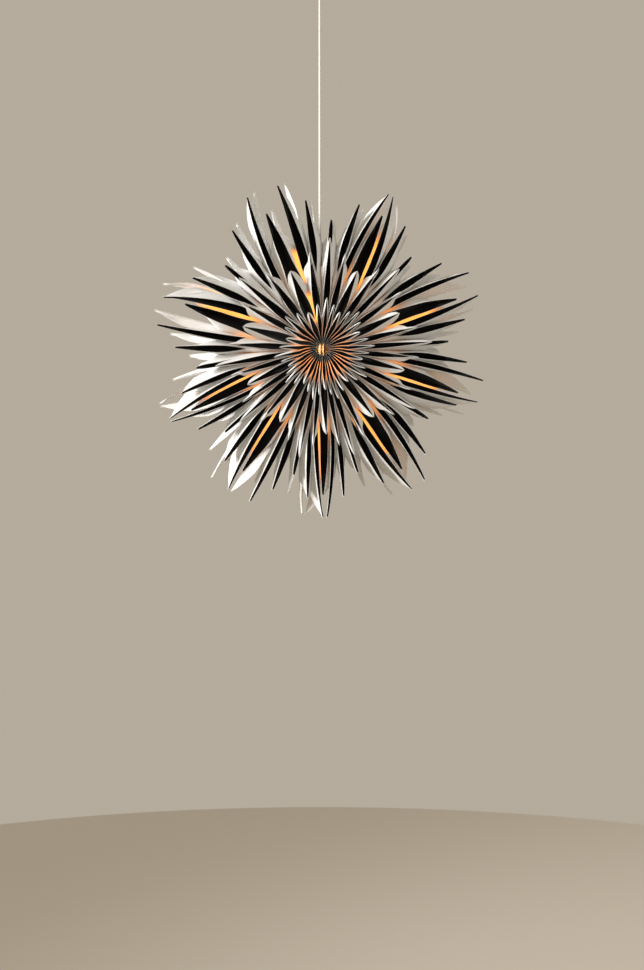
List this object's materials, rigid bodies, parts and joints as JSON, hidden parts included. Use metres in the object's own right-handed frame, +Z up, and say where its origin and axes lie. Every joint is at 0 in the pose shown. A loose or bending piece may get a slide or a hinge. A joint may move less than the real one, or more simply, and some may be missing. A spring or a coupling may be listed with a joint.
{
  "type": "folded paper star pendant light",
  "caption": "Large folded card star lantern, black inside and white outside, hung on a cord from a ceiling cup, with a screw-in bulb in its middle.",
  "frame": {"origin": "centre of the ceiling plate's top face, on the ceiling and on the cord's axis", "axes": "+Z up along the cord, -Y out of the star's front pole, +X to the right of someone facing the star's front"},
  "size_m": [0.6901, 0.104, 1.17],
  "materials": {
    "card": "matt card, white outside and black inside",
    "cord_sheath": "white sheath",
    "white_plastic": "moulded, satin",
    "black_plastic": "moulded, heat proof",
    "black_glass": "glossy insulator",
    "white_enamel": "satin white paint",
    "zinc_plate": "zinc plated",
    "zinc_wire": "zinc plated",
    "nickel": "nickel plated",
    "brass": "plain brass",
    "bulb_glass": "clear",
    "filament": "lit filament rods"
  },
  "bodies": {
    "lamp": {"cord": "cord_sheath", "cord_collar": "white_plastic", "collar_screw": "zinc_wire", "holder_body": "white_plastic", "holder_insert": "black_plastic", "holder_contacts": "brass", "holder_cap": "white_plastic", "holder_nut": "white_plastic", "ceiling_plate": "zinc_plate", "cord_clamp": "white_plastic", "clamp_screws": "zinc_wire", "terminal_block": "white_plastic", "terminal_screws": "brass"},
    "cup": {"canopy_cup": "white_enamel", "cup_grip": "white_plastic", "cup_screw": "zinc_wire"},
    "star": {"front_leaves_1a": "card", "front_leaves_1b": "card", "front_leaves_2a": "card", "front_leaves_2b": "card", "front_leaves_3a": "card", "front_leaves_3b": "card", "front_leaves_4a": "card", "front_leaves_4b": "card", "front_leaves_5a": "card", "front_leaves_5b": "card", "front_leaves_6a": "card", "front_leaves_6b": "card", "front_leaves_7a": "card", "front_leaves_7b": "card", "front_leaves_8a": "card", "front_leaves_8b": "card", "front_leaves_9a": "card", "front_leaves_9b": "card", "back_leaves_1a": "card", "back_leaves_1b": "card", "back_leaves_2a": "card", "back_leaves_2b": "card", "back_leaves_3a": "card", "back_leaves_3b": "card", "back_leaves_4a": "card", "back_leaves_4b": "card", "back_leaves_5a": "card", "back_leaves_5b": "card", "back_leaves_6a": "card", "back_leaves_6b": "card", "back_leaves_7a": "card", "back_leaves_7b": "card", "back_leaves_8a": "card", "back_leaves_8b": "card", "back_leaves_9a": "card", "back_leaves_9b": "card", "hanger": "zinc_wire"},
    "bulb_lift": {"bulb_tip": "nickel"},
    "bulb": {"bulb_glass": "bulb_glass", "bulb_cap": "nickel", "bulb_insulator": "black_glass", "bulb_filament": "filament"}
  },
  "joints": [
    {"name": "star_turn", "type": "hinge", "parent": "lamp", "child": "star", "pos_m": [0, 0, -0.632], "axis": [0, 0, 1], "continuous": true},
    {"name": "cup_slide", "type": "slide", "parent": "lamp", "child": "cup", "axis": [0, 0, -1], "range_m": [0, 0.05]},
    {"name": "bulb_travel", "type": "slide", "parent": "lamp", "child": "bulb_lift", "axis": [0, 0, -1], "range_m": [0, 0.0085]},
    {"name": "bulb_turn", "type": "hinge", "parent": "bulb_lift", "child": "bulb", "pos_m": [0, 0, -0.78], "axis": [0, 0, -1], "range_deg": [0, 1080]}
  ],
  "couplings": [
    {"joint": "bulb_travel", "follows": "bulb_turn", "m_per_rad": 0.00044882}
  ]
}
